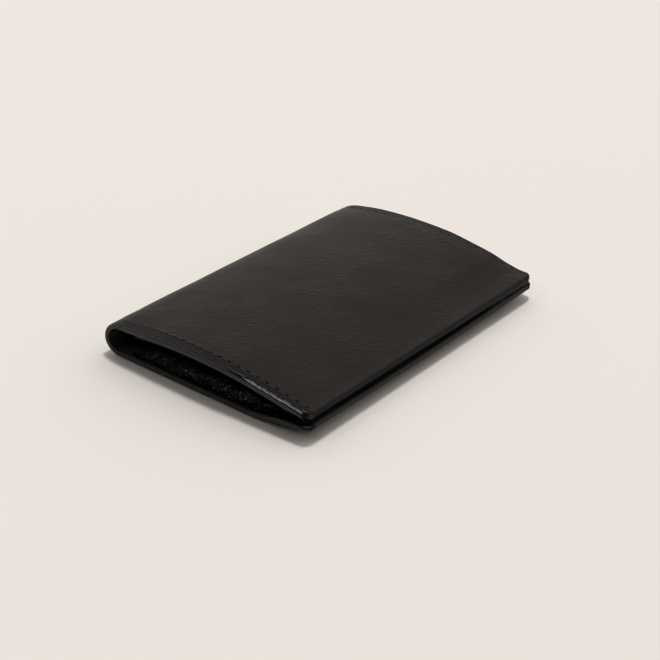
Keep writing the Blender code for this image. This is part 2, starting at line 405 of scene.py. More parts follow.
def stitched(s, inset, holes, from_end=THREAD_INSET):
    """Furrow and needle holes of a stitch row."""
    first, last = holes[0], holes[-1]
    inside = smooth(s, first - FURROW_RUN_OUT, first) * (1.0 - smooth(s, last, last + FURROW_RUN_OUT))
    relief = -FURROW_DEPTH * bell(inset - from_end, FURROW_WIDTH) * inside
    for hole in holes:
        relief = relief - HOLE_DEPTH * bell(s - hole, HOLE_WIDTH) * bell(inset - from_end, HOLE_WIDTH)
    return relief


def margin(inset):
    """The pressed margin along a cut end, with its creased line."""
    pressed = -MARGIN_DEPTH * (1.0 - smooth(inset, *MARGIN_SLOPE))
    return pressed - CREASE_DEPTH * bell(inset - CREASE_INSET, CREASE_WIDTH)


def hide(s, y, seed):
    """Gentle waves and crepe wrinkles of the hide."""
    wander = 0.0016 * lattice(s, y, 0.007, seed + 3)
    waves = 0.00009 * lattice(s, y, 0.014, seed) + 0.00005 * lattice(s, y, 0.006, seed + 1)
    crepe = lattice(s + wander, 1.7 * y + wander, 0.0019, seed + 2)
    patch = smooth(lattice(s, y, 0.018, seed + 4), -0.5, 0.6)
    return waves + 0.000022 * crepe * (0.35 + 0.65 * patch)


FRONT_HOLES = row_holes(front_s(COVER_ROW[0]), front_s(COVER_ROW[1]))
BACK_HOLES = row_holes(back_s(BACK_ROW[1]), back_s(BACK_ROW[0]))
WALL_HOLES = row_holes(WALL_ROW[0] - WALL_MOUTH, WALL_ROW[1] - WALL_MOUTH)


def cover_relief(s, y, inset):
    """Relief of the outer leather. It is pressed against the floor, and calmer on the turned rims."""
    far = smooth(y, 0.0, 0.5 * LENGTH)
    start = smooth(s, FRONT_HOLES[0], FRONT_HOLES[0] + FIRST_STITCHES_LENGTH)
    shown = FIRST_STITCHES + (1.0 - FIRST_STITCHES) * start
    rows = stitched(s, inset, FRONT_HOLES) * shown + stitched(s, inset, BACK_HOLES)
    lift = hide(s, y, COVER_SEED) + margin(inset) + rows * (1.0 - FAR_STITCH_FADE * far)
    top = smooth(s, S_SEAMS[0], S_TOP)
    lift = lift - FAR_MARGIN_FALL * far * top * smooth(-inset, -FAR_MARGIN_WIDTH, 0.0)
    on_floor = 1.0 - smooth(s, S_FLOOR, S_SEAMS[0])
    middle = 0.5 * OUTER.length
    rims = 1.0 - smooth(np.abs(s - middle), middle - RIM_CALM[0], middle - RIM_CALM[1])
    return (lift - FLOOR_PRESS * on_floor) * (RIM_RELIEF + (1.0 - RIM_RELIEF) * rims)


def wall_relief(s, y, inset):
    rows = stitched(s, inset, WALL_HOLES, WALL_THREAD_INSET)
    return WALL_HIDE * hide(s, y, WALL_SEED) + rows - WALL_PRESS


def lining_relief(s, y, inset):
    return LINING_HIDE * hide(s, y, LINING_SEED)


def no_relief(s, y, inset):
    return np.zeros(np.broadcast_shapes(s.shape, y.shape))


# ---------------------------------------------------------------- sheets

def stations(start, end, step, holes=(), breaks=(), ends=0.0):
    """Distances at which a sheet has a section: closer round needle holes and at rounded ends."""
    marks = sorted({start, end, *[b for b in breaks if start < b < end]})
    found = [start]
    for low, high in zip(marks, marks[1:]):
        middle = 0.5 * (low + high)
        bent = S_FLOOR - 0.001 < middle < S_TOP + 0.002 or not S_BACK_RIM < middle < S_FRONT_RIM
        size = BEND_STEP if breaks and bent else step
        count = max(1, int(math.ceil((high - low) / size)))
        found.extend(np.linspace(low, high, count + 1)[1:])
    for hole in holes:
        if start < hole < end:
            found.extend(hole + HOLE_STEP * np.arange(-3, 4))
    if ends:
        turn = ends * (1.0 - np.cos(np.linspace(0.0, math.pi / 2, ARC_POINTS)))
        found.extend(start + turn)
        found.extend(end - turn)
    found = np.unique(np.round(found, 8))
    keep = [found[0]]
    for s in found[1:]:
        fixed = any(abs(s - b) < 1e-7 for b in marks)
        if s - keep[-1] > SMALLEST_STEP:
            keep.append(s)
        elif fixed:
            keep[-1] = s
    return np.array(keep)


def section(half, thickness, arris, fine_zone=FINE_ZONE, coarse=COARSE, fine=FINE, under=UNDER_STEP):
    """Ring of (y, depth) round a sheet's cross-section, from the middle of its outer face."""
    low_arris = min(0.6 * arris, 0.45 * thickness)
    face = np.concatenate([
        np.linspace(0.0, half - fine_zone, int((half - fine_zone) / coarse) + 1)[:-1],
        np.linspace(half - fine_zone, half - arris, int((fine_zone - arris) / fine) + 1)])
    turn = np.linspace(0.0, math.pi / 2, ARC_POINTS)[1:]
    upper = np.stack([half - arris + arris * np.sin(turn), arris - arris * np.cos(turn)], 1)
    side_low = thickness - low_arris
    side = np.array([[half, 0.5 * (arris + side_low)]])
    if thickness >= THICK_SHEET:
        side = np.array([[half - 0.00006, arris + 0.00006], [half, arris + 0.00018],
                         [half, side_low - 0.00005]])
    lower = np.stack([half - low_arris + low_arris * np.cos(turn - turn[0]),
                      side_low + low_arris * np.sin(turn - turn[0])], 1)
    inner = np.linspace(half - low_arris, 0.0, int((half - low_arris) / under) + 2)[1:]
    face = np.stack([face, np.zeros_like(face)], 1)
    inner = np.stack([inner, np.full_like(inner, thickness)], 1)
    lower = np.concatenate([lower, [[half - low_arris, thickness]]])
    one = np.concatenate([face, upper, side, lower, inner])
    other = one[1:-1][::-1] * np.array([-1.0, 1.0])
    return np.concatenate([one, other])


def sheet_grid(path, s, ring, half, depth, thickness, relief, thin=None, pull=None, bevel=None):
    """Vertices (stations x ring x 3), UVs and material zones of a sheet that follows a path.

    depth is a number or a function of x, and both ends of the sheet are rounded. relief, thin, pull
    and bevel are functions: the lift of the outer face, the share of the thickness left, how far the
    short ends draw in, and how far their outer arris leans in.
    """
    point, normal = path.at(s)
    y, level = ring[:, 0][None, :], ring[:, 1][None, :]
    inset = half - np.abs(y)
    lift = relief(s[:, None], y, inset) * (1.0 - level / thickness)
    squeeze = np.ones_like(s)
    if thin is not None:
        squeeze = thin(s)
    down = depth(point[:, 0])[:, None] if callable(depth) else depth
    deep = level * squeeze[:, None]
    nearer = np.minimum(s - s[0], s[-1] - s)
    t = np.clip(nearer / (0.5 * thickness), 0.0, 1.0)
    round_off = np.sqrt(np.maximum(0.02, 1.0 - (1.0 - t) ** 2))
    middle = 0.5 * thickness * squeeze[:, None]
    deep = middle + (deep - middle) * round_off[:, None]
    offset = lift * round_off[:, None] - deep - down
    across = np.broadcast_to(y, offset.shape)
    ramp = np.clip(1.0 - inset / END_ZONE, 0.0, 1.0)
    if pull is not None:
        across = across - np.sign(y) * pull(s, point)[:, None] * ramp
    if bevel is not None:
        slope = bevel(s, point)[:, None] * np.clip(1.0 - level / thickness, 0.0, 1.0)
        across = across - np.sign(y) * slope * ramp
    x = point[:, 0][:, None] + normal[:, 0][:, None] * offset
    z = point[:, 1][:, None] + normal[:, 1][:, None] * offset
    xyz = np.stack([skewed(x, across) + SPINE_X, drawn(across), z + settle(x, across, z)], -1)
    uv = np.stack(np.broadcast_arrays(s[:, None], y + np.sign(y) * level * ramp), -1)
    on_margin = (level <= 0.0) & (inset < MARGIN)
    on_cut = (level > CUT_LEVEL) & (inset < CUT_INSET)
    zone = np.broadcast_to(np.where(on_cut, 2, np.where(on_margin, 1, 0)), offset.shape)
    return {"xyz": xyz, "uv": uv, "edge": np.zeros(offset.shape), "s": s, "zone": zone}


def grid_normals(xyz):
    along = np.gradient(xyz, axis=0)
    around = np.roll(xyz, -1, axis=1) - np.roll(xyz, 1, axis=1)
    normal = np.cross(along, around)
    length = np.linalg.norm(normal, axis=-1, keepdims=True)
    return normal / np.maximum(length, 1e-12)


def mesh_object(name, xyz, faces, loop_normals, uv, edge, materials, zones=None):
    mesh = bpy.data.meshes.new(name)
    mesh.from_pydata(xyz.reshape(-1, 3).tolist(), [], faces)
    layer = mesh.uv_layers.new(name="skin")
    corners = np.zeros(len(mesh.loops), np.int32)
    mesh.loops.foreach_get("vertex_index", corners)
    layer.data.foreach_set("uv", uv.reshape(-1, 2)[corners].astype(np.float32).ravel())
    mark = mesh.attributes.new("edge", "FLOAT", "POINT")
    mark.data.foreach_set("value", edge.astype(np.float32).ravel())
    mesh.shade_smooth()
    if loop_normals is not None:
        mesh.normals_split_custom_set(loop_normals.tolist())
    for material in materials:
        mesh.materials.append(material)
    if zones is not None:
        mesh.polygons.foreach_set("material_index", zones)
    thing = bpy.data.objects.new(name, mesh)
    bpy.context.scene.collection.objects.link(thing)
    return thing


def make_piece(name, grid, materials, first=0, last=None):
    """A closed mesh from the sections first to last of a sheet.

    With three materials, the second is for the pressed margin and the third for the cut edge.
    """
    last = len(grid["s"]) - 1 if last is None else last
    xyz = grid["xyz"][first:last + 1]
    normals = grid_normals(grid["xyz"])[first:last + 1]
    rows, ring = xyz.shape[:2]
    index = np.arange(rows * ring).reshape(rows, ring)
    nxt = np.roll(index, -1, axis=1)
    quads = np.stack([index[:-1], index[1:], nxt[1:], nxt[:-1]], -1).reshape(-1, 4)
    start_cap, end_cap = index[0], index[-1][::-1]
    faces = quads.tolist() + [start_cap.tolist(), end_cap.tolist()]
    flat = normals.reshape(-1, 3)
    travel = xyz[1].mean(0) - xyz[0].mean(0)
    arrive = xyz[-1].mean(0) - xyz[-2].mean(0)
    cap_normals = [np.tile(-travel / np.linalg.norm(travel), (ring, 1)),
                   np.tile(arrive / np.linalg.norm(arrive), (ring, 1))]
    loop_normals = np.concatenate([flat[quads.ravel()], *cap_normals])
    zones = None
    if len(materials) == 3:
        around = np.maximum(grid["zone"][first], np.roll(grid["zone"][first], -1))
        zones = np.concatenate([np.tile(around, rows - 1), [2, 2]]).astype(np.int32)
    uv, edge = (grid[key][first:last + 1] for key in ("uv", "edge"))
    return mesh_object(name, xyz, faces, loop_normals, uv, edge, materials, zones)


# ---------------------------------------------------------------- materials

class Tree:
    """Short calls for wiring a material."""

    def __init__(self, name):
        self.material = bpy.data.materials.new(name)
        self.material.use_nodes = True
        self.tree = self.material.node_tree
        self.shader = self.tree.nodes["Principled BSDF"]

    def add(self, kind, inputs=None, **settings):
        node = self.tree.nodes.new(kind)
        for key, value in settings.items():
            setattr(node, key, value)
        for key, value in (inputs or {}).items():
            self.put(node.inputs[key], value)
        return node

    def put(self, socket, value):
        if isinstance(value, bpy.types.NodeSocket):
            self.tree.links.new(value, socket)
        else:
            socket.default_value = value

    def math(self, operation, a, b):
        return self.add("ShaderNodeMath", {0: a, 1: b}, operation=operation).outputs[0]

    def vector(self, operation, a, b):
        return self.add("ShaderNodeVectorMath", {0: a, 1: b}, operation=operation).outputs[0]

    def skin(self, scale=(1000.0, 1000.0, 1000.0), turn=0.0):
        """Leather coordinates in millimetres, stretched and turned."""
        uv = self.add("ShaderNodeUVMap", uv_map="skin")
        place = self.add("ShaderNodeMapping", {"Vector": uv.outputs["UV"], "Scale": scale,
                                               "Rotation": (0.0, 0.0, turn)})
        return place.outputs["Vector"]

    def noise(self, vector, scale, detail=2.0, rough=0.5, kind="FBM", distortion=0.0):
        node = self.add("ShaderNodeTexNoise", {"Vector": vector, "Scale": scale, "Detail": detail,
                                               "Roughness": rough, "Distortion": distortion},
                        noise_dimensions="3D", noise_type=kind)
        return node.outputs["Fac"]

    def range(self, value, low, high, new_low, new_high):
        node = self.add("ShaderNodeMapRange", {"Value": value, "From Min": low, "From Max": high,
                                               "To Min": new_low, "To Max": new_high})
        return node.outputs["Result"]

    def mix(self, factor, a, b):
        node = self.add("ShaderNodeMix", data_type="RGBA")
        self.put(node.inputs[0], factor)
        self.put(node.inputs[6], a)
        self.put(node.inputs[7], b)
        return node.outputs[2]

    def bump(self, height, distance, strength=1.0, below=None):
        inputs = {"Height": height, "Distance": distance, "Strength": strength}
        if below is not None:
            inputs["Normal"] = below
        return self.add("ShaderNodeBump", inputs).outputs["Normal"]


def grain_heights(tree, pebble, crepe_scale):
    """Pebbled grain, crepe wrinkles and how strongly they show, all between about 0 and 1."""
    skin = tree.skin()
    warp = tree.add("ShaderNodeTexNoise", {"Vector": skin, "Scale": 0.9, "Detail": 2.0})
    shifted = tree.vector("MULTIPLY", warp.outputs["Color"], (0.9, 0.9, 0.9))
    bent = tree.vector("ADD", skin, shifted)
    cells = tree.add("ShaderNodeTexVoronoi", {"Vector": bent, "Scale": pebble, "Randomness": 1.0,
                                              "Smoothness": 0.6}, feature="SMOOTH_F1")
    pebbles = tree.range(cells.outputs["Distance"], 0.0, 0.9, 1.0, 0.0)
    turned_skin = tree.skin(turn=math.radians(-40))
    long_skin = tree.vector("MULTIPLY", turned_skin, (0.50, 1.15, 1.0))
    crepe = tree.noise(long_skin, crepe_scale, 3.0, 0.55, distortion=1.1)
    patches = tree.range(tree.noise(skin, 0.045, 1.0), 0.42, 0.60, 0.15, 1.0)
    return pebbles, crepe, patches


def shade(colour, factor):
    return tuple(c * factor for c in colour[:3]) + (1.0,)


def leather_material(name, colour, roughness, grain=1.0, gloss=0.11, warmth=0.93, rim=None):
    """Grained leather. rim is a lighter colour painted where the edge attribute is 1, a painted highlight
    along the rim.
    """
    tree = Tree(name)
    pebbles, crepe, patches = grain_heights(tree, 2.4, 0.75)
    skin = tree.skin()
    cloud = tree.noise(skin, 0.05, 3.0, 0.6)
    fine = tree.noise(skin, 9.0, 2.0)
    dark = shade(colour, 0.72)
    hide_colour = tree.mix(tree.range(cloud, 0.3, 0.7, 0.0, 1.0), dark, shade(colour, 1.25))
    hide_colour = tree.mix(tree.range(pebbles, 0.2, 0.9, 0.35, 0.0), hide_colour, dark)
    if rim is not None:
        # The edge attribute marks where the painted highlight along the rim goes.
        wear_and_painted_light = tree.add("ShaderNodeAttribute", attribute_name="edge").outputs["Fac"]
        hide_colour = tree.mix(wear_and_painted_light, hide_colour, rim)
    tree.put(tree.shader.inputs["Base Color"], hide_colour)
    rough = tree.range(cloud, 0.25, 0.75, roughness - 0.05, roughness + 0.06)
    rough = tree.math("ADD", rough, tree.range(fine, 0.3, 0.7, -0.04, 0.04))
    tree.put(tree.shader.inputs["Roughness"], rough)
    crepe_height = tree.math("MULTIPLY", crepe, patches)
    one = tree.bump(crepe_height, 0.00032 * grain, 0.9)
    two = tree.bump(pebbles, 0.00003 * grain, 0.6, one)
    three = tree.bump(fine, 0.000006, 0.5, two)
    tree.put(tree.shader.inputs["Normal"], three)
    tree.shader.inputs["Specular IOR Level"].default_value = gloss
    tree.shader.inputs["Specular Tint"].default_value = (1.0, warmth, warmth - 0.03, 1.0)
    return tree.material


def edge_material(name, colour):
    """Smooth dark paint on a cut edge, with faint lines along the layers and worn spots."""
    tree = Tree(name)
    skin = tree.skin()
    lines = tree.noise(tree.skin(scale=(300.0, 9000.0, 1000.0)), 1.0, 2.0)
    spots = tree.noise(skin, 1.3, 4.0, 0.6)
    wear_and_painted_light = tree.mix(tree.range(spots, 0.4, 0.75, 0.0, 0.8), colour, shade(colour, 2.2))
    tree.put(tree.shader.inputs["Base Color"], wear_and_painted_light)
    tree.put(tree.shader.inputs["Roughness"], tree.range(spots, 0.3, 0.7, 0.08, 0.17))
    one = tree.bump(lines, 0.00003, 0.5)
    two = tree.bump(tree.noise(skin, 2.2, 3.0), 0.00006, 0.6, one)
    tree.put(tree.shader.inputs["Normal"], two)
    tree.shader.inputs["Specular IOR Level"].default_value = 0.34
    return tree.material


def gusset_material(name, colour, edge_colour):
    """Glossy crinkled leather. edge_colour shows where the edge attribute is 1."""
    tree = Tree(name)
    skin = tree.skin()
    edge = tree.add("ShaderNodeAttribute", attribute_name="edge").outputs["Fac"]
    folds = tree.noise(skin, 1.15, 4.0, 0.62, kind="RIDGED_MULTIFRACTAL", distortion=0.6)
    cells = tree.add("ShaderNodeTexVoronoi", {"Vector": skin, "Scale": 1.9}, feature="SMOOTH_F1")
    cloud = tree.noise(skin, 0.3, 2.0)
    skin_colour = tree.mix(tree.range(cloud, 0.35, 0.65, 0.0, 1.0), colour, shade(colour, 1.8))
    tree.put(tree.shader.inputs["Base Color"], tree.mix(edge, skin_colour, edge_colour))
    tree.put(tree.shader.inputs["Roughness"], tree.range(cloud, 0.3, 0.7, 0.13, 0.26))
    one = tree.bump(folds, 0.00020, 0.9)
    two = tree.bump(cells.outputs["Distance"], 0.00016, 0.9, one)
    tree.put(tree.shader.inputs["Normal"], two)
    tree.shader.inputs["Specular IOR Level"].default_value = 0.10
    return tree.material


def thread_material(name, colour):
    tree = Tree(name)
    twist = tree.add("ShaderNodeTexWave", {"Vector": tree.skin(turn=math.radians(35)), "Scale": 2.2,
                                           "Distortion": 0.4}, wave_type="BANDS")
    height = twist.outputs["Fac"]
    tree.put(tree.shader.inputs["Base Color"], tree.mix(height, colour, shade(colour, 2.0)))
    tree.put(tree.shader.inputs["Roughness"], tree.range(height, 0.0, 1.0, 0.75, 0.6))
    tree.put(tree.shader.inputs["Normal"], tree.bump(height, 0.00004, 0.8))
    return tree.material


def floor_material(name, colour):
    tree = Tree(name)
    place = tree.add("ShaderNodeTexCoord").outputs["Object"]
    cloud = tree.noise(place, 1.5, 2.0)
    tree.put(tree.shader.inputs["Base Color"], tree.mix(cloud, shade(colour, 0.985), colour))
    tree.shader.inputs["Roughness"].default_value = 0.9
    tree.shader.inputs["Specular IOR Level"].default_value = 0.1
    return tree.material


# ---------------------------------------------------------------- pieces

def corner_pull(s, point):
    """How far a rounded corner draws in from the end of the case, near a turned rim."""
    gap = np.clip(WIDTH - point[:, 0], 0.0, CORNER_RADIUS)
    return CORNER_RADIUS - np.sqrt(np.maximum(0.0, CORNER_RADIUS ** 2 - (CORNER_RADIUS - gap) ** 2))


def cover_bevel(s, point):
    """How far the top arris of the front cover leans in, where the cover droops to its corner."""
    x = point[:, 0]
    fuller = 1.0 + BEVEL_BULGE * bell(x - BEVEL_BULGE_X, BEVEL_BULGE_WIDTH)
    return np.where(s > S_TOP, COVER_BEVEL * fuller * smooth(x, *COVER_BEVEL_RANGE), 0.0)


def skived(s):
    """The leather is pared thinner where it is turned over."""
    near = np.minimum(s - S_BACK_RIM, S_FRONT_RIM - s)
    thin = FOLD_LEATHER / LEATHER
    return thin + (1.0 - thin) * smooth(near, *SKIVE_RANGE)


def seam_points():
    """Start and end of each bend of the spine, for the leather and everything under it."""
    points = []
    first, second = (CLOSED_TURN * turn / HINGES for turn in (1, 2))
    leans = (first, 0.5 * (first + second), second)
    outer, normal = OUTER.at(np.array([S_FLOOR, *S_SEAMS, S_TOP]))
    inner = outer - normal * (LINING_DEPTH + LINING)
    for k, lean in enumerate(leans):
        heading = np.array([-math.cos(lean), math.sin(lean)])
        starts = [float(p @ heading) for p in (outer[k], inner[k])]
        ends = [float(p @ heading) for p in (outer[k + 1], inner[k + 1])]
        begin = starts[0] if k == 0 else max(starts)
        finish = ends[0] if k == 0 else min(ends)
        points.append((begin * heading, finish * heading))
    return points


BENDS = seam_points()


def strips(names, grid, materials, replaced):
    """Cuts a sheet at the spine's seams into three pieces, each bending across one fold."""
    cuts = [0] + [int(np.argmin(np.abs(grid["s"] - s))) for s in S_SEAMS] + [len(grid["s"]) - 1]
    for k, name in enumerate(names):
        piece = make_piece(name, grid, materials[k], cuts[k], cuts[k + 1])
        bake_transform(piece)
        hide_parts(*replaced[k])


def build_covers(materials):
    half = LENGTH / 2 - COVER_INSET
    breaks = [S_BACK_RIM, S_FLOOR, *S_SEAMS, S_TOP, S_FRONT_RIM]
    s = stations(0.0, OUTER.length, PLATE_STEP, [*BACK_HOLES, *FRONT_HOLES], breaks, ends=0.5 * LEATHER)
    ring = section(half, LEATHER, 0.00036)
    grid = sheet_grid(OUTER, s, ring, half, 0.0, LEATHER, cover_relief, skived, corner_pull, cover_bevel)
    # Painted highlight: the leather is coloured lighter over the last few millimetres before the front rim,
    # where the fold catches light.
    rim = smooth(s, S_FRONT_RIM - RIM_HIGHLIGHT_WIDTH, S_FRONT_RIM - 0.1 * RIM_HIGHLIGHT_WIDTH)
    grid["edge"] = np.broadcast_to(rim[:, None], grid["edge"].shape)
    sheets = [materials["cover_back"], materials["cover_spine"], materials["cover"]]
    strips(["leather_back", "leather_spine", "leather_front"], grid, sheets,
           [["back_cover"], ["spine_leather_lower", "spine_leather_upper"], ["front_cover"]])


def lining_pared(x):
    """Share of the lining's thickness left, where it runs out under the turned rim."""
    return 1.0 - LINING_PARED_AWAY * smooth(x, LINING_PARED, LINING_END)


def lining_ring(half):
    return section(half, LINING, 0.00012, fine_zone=0.002, coarse=0.002, fine=0.0004, under=0.0015)


def build_linings(materials):
    half = LENGTH / 2 - LINING_INSET
    start, end = back_s(LINING_END), front_s(LINING_END)
    s = stations(start, end, LINING_STEP, (), [S_FLOOR, *S_SEAMS, S_TOP], ends=0.5 * LINING)
    grid = sheet_grid(OUTER, s, lining_ring(half), half, LINING_DEPTH, LINING, lining_relief,
                      lambda along: lining_pared(OUTER.at(along)[0][:, 0]))
    sheets = [materials["lined"], materials["lined"], materials["lined_front"]]
    strips(["lining_back", "lining_spine", "lining_front"], grid, sheets,
           [["back_lining"], ["spine_lining_lower", "spine_lining_upper"], ["front_lining"]])


def flap_depth(x):
    return FLAP_DEPTH - (FLAP_DEPTH - FLAP_RIM_DEPTH) * smooth(x, FLAP_EASE_START, FOLD_END_X)


def flap_pared(s):
    """The flap is pared towards its mouth."""
    return 0.35 + 0.65 * smooth(s - s[0], 0.0, 0.0050)


def build_flap(materials):
    half = LENGTH / 2 - FLAP_INSET
    start, end = front_s(FLAP_MOUTH), front_s(FOLD_END_X - FLAP_GAP)
    s = stations(start, end, FLAP_STEP, ends=0.2 * FLAP_LEATHER)
    ring = section(half, FLAP_LEATHER, 0.00008, fine_zone=0.003, coarse=0.0015, fine=0.0003, under=0.001)
    grid = sheet_grid(OUTER, s, ring, half, flap_depth, FLAP_LEATHER, no_relief, flap_pared, corner_pull)
    piece = make_piece("flap_pocket", grid, materials["inner"])
    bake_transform(piece)
    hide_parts("front_flap_pocket")


def build_wall(materials):
    half = LENGTH / 2 - WALL_INSET
    s = stations(0.0, WALL.length, WALL_STEP, WALL_HOLES, ends=0.5 * WALL_LEATHER)
    ring = section(half, WALL_LEATHER, 0.00028, coarse=0.0010, fine=0.0002)
    grid = sheet_grid(WALL, s, ring, half, 0.0, WALL_LEATHER, wall_relief)
    piece = make_piece("pocket_wall", grid, materials["inner"])
    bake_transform(piece)
    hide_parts("pocket_front_wall")


def build_wall_lining(materials):
    half = LENGTH / 2 - WALL_LINING_INSET
    end = WALL.nearest(WALL_LINING_END, float(wall_z(WALL_LINING_END)))
    s = stations(WALL_LINING_START, end, LINING_STEP, ends=0.5 * LINING)
    grid = sheet_grid(WALL, s, lining_ring(half), half, WALL_LINING_DEPTH, LINING, lining_relief)
    piece = make_piece("wall_lining", grid, materials["lined"])
    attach(piece, "pocket")
    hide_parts("pocket_lining")


def gusset_leg(x, across, level, side, upper):
    """Points of a gusset leg: across runs from its outer margin in to the fold of the V."""
    t = np.clip(across / GUSSET_WIDTH, 0.0, 1.0)
    thin = 1.0 - GUSSET_PARED * smooth(x, GUSSET_PARED_START, GUSSET_END)
    level = level * thin
    low = back_z(x) + LINING_DEPTH + LINING * lining_pared(x) + GUSSET_THICKNESS * thin + GUSSET_GAP
    high = np.maximum(wall_z(x) - WALL_LINING_DEPTH - LINING, low + 2.2 * GUSSET_THICKNESS)
    fold = low + np.minimum(GUSSET_FOLD_LIFT, 0.45 * (high - low))
    margin_inset = GUSSET_UPPER_INSET if upper else GUSSET_LOWER_INSET
    y = side * (-LENGTH / 2 + margin_inset + (GUSSET_FOLD_INSET - margin_inset) * t)
    seed = 200 + 10 * (side > 0) + 5 * upper
    crinkle = sum(height * lattice(x, across, size, seed + k)
                  for k, (height, size) in enumerate(GUSSET_CRINKLES))
    crinkle = crinkle * smooth(t, 0.08, 0.25) * (1.0 - smooth(t, 0.85, 1.0))
    if upper:
        z = high + (fold - high) * smooth(t, 0.0, 1.0) - crinkle + level - GUSSET_THICKNESS
    else:
        z = low + (fold - low) * smooth(t, 0.08, 0.85) + crinkle - level
    return np.stack(np.broadcast_arrays(skewed(x, y) + SPINE_X, drawn(y), z + settle(x, y, z)), -1)


def build_gussets(materials):
    """Four legs. Each follows the back at its lower margin and the pocket's wall at its upper one."""
    rows = np.arange(GUSSET_START, GUSSET_END, GUSSET_STEP)
    half = 0.5 * GUSSET_WIDTH
    ring = section(half, GUSSET_THICKNESS, 0.00010, fine_zone=0.998 * half, coarse=GUSSET_STEP, fine=0.00018,
                   under=0.0002)
    for side, word in ((1, "left"), (-1, "right")):
        for upper in (0, 1):
            across = ring[:, 0][None, :] + half
            xyz = gusset_leg(rows[:, None], across, ring[:, 1][None, :], side, upper)
            shape = xyz.shape[:2]
            grid = {"xyz": xyz, "s": rows, "edge": np.broadcast_to(across < GUSSET_EDGE, shape),
                    "uv": np.stack(np.broadcast_arrays(rows[:, None], across + 0.01 * upper), -1)}
            if (side > 0) == bool(upper):
                grid = {key: value[:, ::-1] if value.ndim > 1 else value for key, value in grid.items()}
            piece = make_piece(f"gusset_{word}_{('lower', 'upper')[upper]}", grid, [materials["gusset"]])
            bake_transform(piece)
            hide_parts(f"gusset_{word}")


def build_row(name, path, holes, y, body, node, materials):
    """A row of stitches: short rounded threads lying in the furrow, their ends down the holes."""
    sides, rings = 8, 9
    groove = NEAR_STITCH_DEPTH if y < 0.0 else FAR_STITCH_DEPTH
    all_xyz, faces, uvs = [], [], []
    angle = np.linspace(0.0, 2.0 * math.pi, sides, endpoint=False)
    for k, hole in enumerate(holes[:-1]):
        middle = hole + 0.5 * (holes[k + 1] - hole)
        t = np.linspace(-1.0, 1.0, rings)
        s = middle + 0.5 * STITCH_LENGTH * t
        point, normal = path.at(s)
        radius = THREAD_RADIUS * np.sqrt(np.maximum(0.03, 1.0 - t ** 4))
        depth = groove + STITCH_PLUNGE * t ** 4
        slant = STITCH_SLANT * t
        side = slant[:, None] + radius[:, None] * np.cos(angle)[None, :]
        lift = radius[:, None] * np.sin(angle)[None, :] * THREAD_FLATNESS - depth[:, None]
        x = point[:, 0][:, None] + normal[:, 0][:, None] * lift
        z = point[:, 1][:, None] + normal[:, 1][:, None] * lift
        xyz = np.stack([skewed(x, y + side) + SPINE_X, drawn(y + side), z + settle(x, y + side, z)], -1)
        base = k * rings * sides
        index = base + np.arange(rings * sides).reshape(rings, sides)
        nxt = np.roll(index, -1, axis=1)
        faces += np.stack([index[:-1], index[1:], nxt[1:], nxt[:-1]], -1).reshape(-1, 4)[:, ::-1].tolist()
        faces += [index[0][::-1].tolist(), index[-1].tolist()]
        all_xyz.append(xyz.reshape(-1, 3))
        uv = np.stack([np.broadcast_to(s[:, None], (rings, sides)),
                       y + np.broadcast_to(angle[None, :] * THREAD_RADIUS, (rings, sides))], -1)
        uvs.append(uv.reshape(-1, 2))
    xyz = np.concatenate(all_xyz)
    piece = mesh_object(name, xyz, faces, None, np.concatenate(uvs), np.zeros(len(xyz)),
                        [materials["thread"]])
    if body == "front":
        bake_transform(piece)
    else:
        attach(piece, body)
    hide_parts(node)


def build_threads(materials):
    for word, sign in (("left", -1), ("right", 1)):
        y = sign * (LENGTH / 2 - THREAD_INSET)
        build_row(f"front_stitches_{word}", OUTER, FRONT_HOLES, y, "front", f"front_thread_{word}", materials)
        build_row(f"back_stitches_{word}", OUTER, BACK_HOLES, y, "back", f"back_thread_{word}", materials)
        y = sign * (LENGTH / 2 - WALL_INSET - WALL_THREAD_INSET)
        build_row(f"wall_stitches_{word}", WALL, WALL_HOLES, y, "pocket", f"pocket_thread_{word}", materials)


# ---------------------------------------------------------------- stage

CAMERA_TARGET = (0.00391, -0.00240, 0.0)
CAMERA_AZIMUTH = math.radians(39.66)
CAMERA_ELEVATION = math.radians(29.17)
CAMERA_DISTANCE = 0.4568
CAMERA_LENS = 85.29
WORLD_AXIS = (-0.25, 0.93, -0.25)
WORLD_LEVELS = ((0.0, 0.02), (1.0, 1.75), (0.13, 0.03), (0.27, 0.10), (0.375, 0.33), (0.50, 0.72),
                (0.64, 1.08), (0.74, 1.42), (0.86, 1.22), (0.93, 1.50))
WORLD_TINT = (1.0, 0.965, 0.935)
FLOOR_SIZE = 4.0
FLOOR_GAP = 0.00009
FLOOR_COLOUR = (0.80, 0.76, 0.72, 1.0)


def aim(thing, back):
    thing.rotation_mode = "QUATERNION"
    thing.rotation_quaternion = (-Vector(back)).to_track_quat("-Z", "Y")


def direction(azimuth, elevation):
    """Unit vector from the case towards a camera or lamp; azimuth 0 is on the -Y side."""
    flat = math.cos(elevation)
    return (math.sin(azimuth) * flat, -math.cos(azimuth) * flat, math.sin(elevation))


def build_camera():
    data = bpy.data.cameras.new("camera")
    camera = bpy.data.objects.new("camera", data)
    bpy.context.scene.collection.objects.link(camera)
    back = direction(CAMERA_AZIMUTH, CAMERA_ELEVATION)
    camera.location = [t + b * CAMERA_DISTANCE for t, b in zip(CAMERA_TARGET, back)]
    aim(camera, back)
    data.lens = CAMERA_LENS
    data.sensor_width = 36.0
    data.clip_start = 0.01
    data.clip_end = 50.0
    bpy.context.scene.camera = camera


def build_lamp(name, azimuth, elevation, distance, size, power, colour):
    data = bpy.data.lights.new(name, "AREA")
    data.shape = "RECTANGLE"
    data.size, data.size_y = size
    data.energy = power
    data.color = colour
    lamp = bpy.data.objects.new(name, data)
    back = direction(math.radians(azimuth), math.radians(elevation))
    lamp.location = [b * distance for b in back]
    aim(lamp, back)
    bpy.context.scene.collection.objects.link(lamp)


